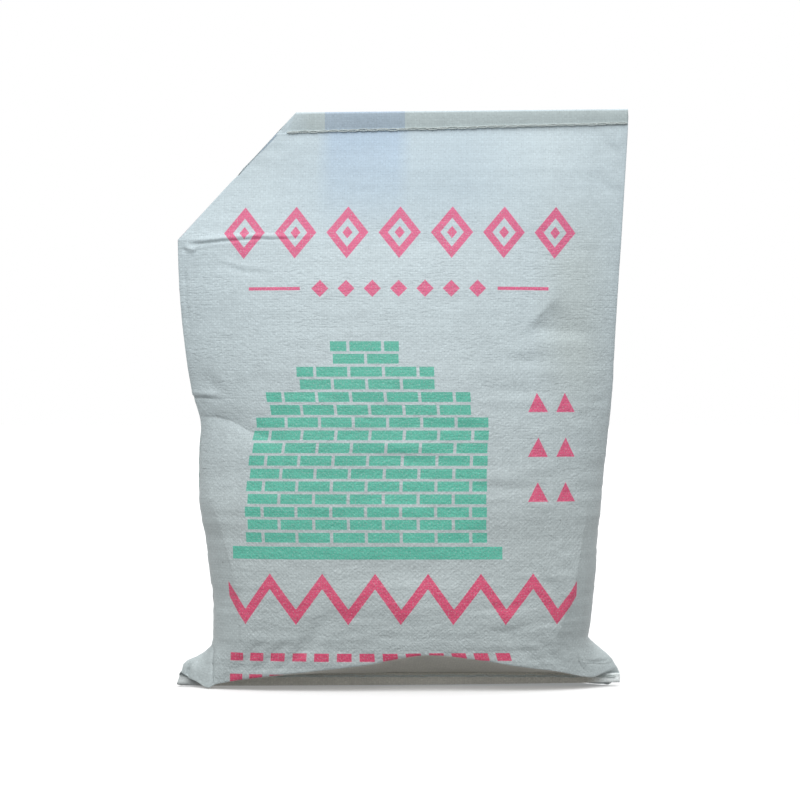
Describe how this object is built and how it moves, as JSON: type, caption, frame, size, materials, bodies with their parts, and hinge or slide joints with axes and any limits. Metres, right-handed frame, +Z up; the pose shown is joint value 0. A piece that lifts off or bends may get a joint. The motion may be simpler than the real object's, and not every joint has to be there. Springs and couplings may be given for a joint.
{
  "type": "woven polypropylene valve sack",
  "caption": "Filled woven polypropylene valve sack standing on its bottom seam, with a slanted tucked-in valve corner and chain-stitched hems.",
  "frame": {"origin": "on the floor, under the centre of the sack's bounding box", "axes": "+Z up along the standing height, +X to the right seen from the printed front, and the printed front faces -Y"},
  "size_m": [0.45, 0.1388, 0.577],
  "materials": {
    "woven_fabric": "plain-woven flat tapes, faintly glossy, printed on the front",
    "sewing_thread": "matt twisted thread"
  },
  "bodies": {
    "root": {"filled_sack": "woven_fabric", "top_seam_thread": "sewing_thread", "bottom_seam_thread": "sewing_thread"}
  },
  "joints": []
}
